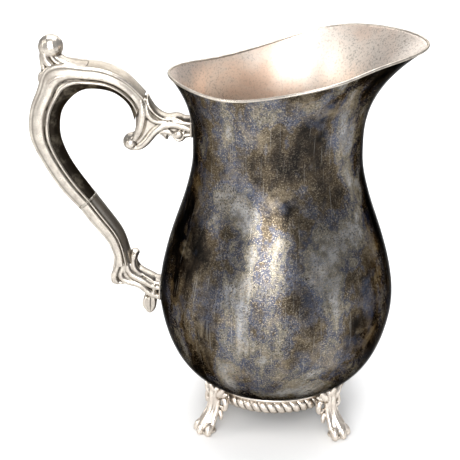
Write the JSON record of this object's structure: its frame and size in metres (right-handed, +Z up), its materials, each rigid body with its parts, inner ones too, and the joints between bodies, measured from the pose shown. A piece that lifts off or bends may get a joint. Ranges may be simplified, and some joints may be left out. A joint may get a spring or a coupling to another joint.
{
  "type": "water pitcher",
  "caption": "Footed silver-plated water pitcher: pear-shaped body with a wide flared pouring lip, gadrooned base ring, cast scroll feet and a cast scroll handle with a ball thumb rest.",
  "frame": {"origin": "on the table, under the middle of the overall length and width; the body's own axis is 30.9 mm towards +X from it", "axes": "+Z up, +X towards the pouring lip, the handle on the -X side, +Y across the narrowest extent"},
  "size_m": [0.234, 0.1436, 0.2417],
  "materials": {
    "tarnished_plate": "gloss",
    "bright_plate": "gloss",
    "solder": "satin"
  },
  "bodies": {
    "root": {"body_shell": "tarnished_plate", "rim_wire": "bright_plate", "base_rim": "bright_plate", "foot_front_left": "bright_plate", "foot_front_right": "bright_plate", "foot_back_left": "bright_plate", "foot_back_right": "bright_plate", "handle_loop": "bright_plate", "handle_lower_arm": "bright_plate", "handle_joint_band": "solder", "thumb_scroll": "bright_plate", "upper_bracket_scroll": "bright_plate", "upper_bracket_drop": "bright_plate", "upper_handle_socket": "bright_plate", "lower_bracket_scroll": "bright_plate", "lower_leaf_drop": "bright_plate", "lower_handle_socket": "bright_plate"}
  },
  "joints": []
}
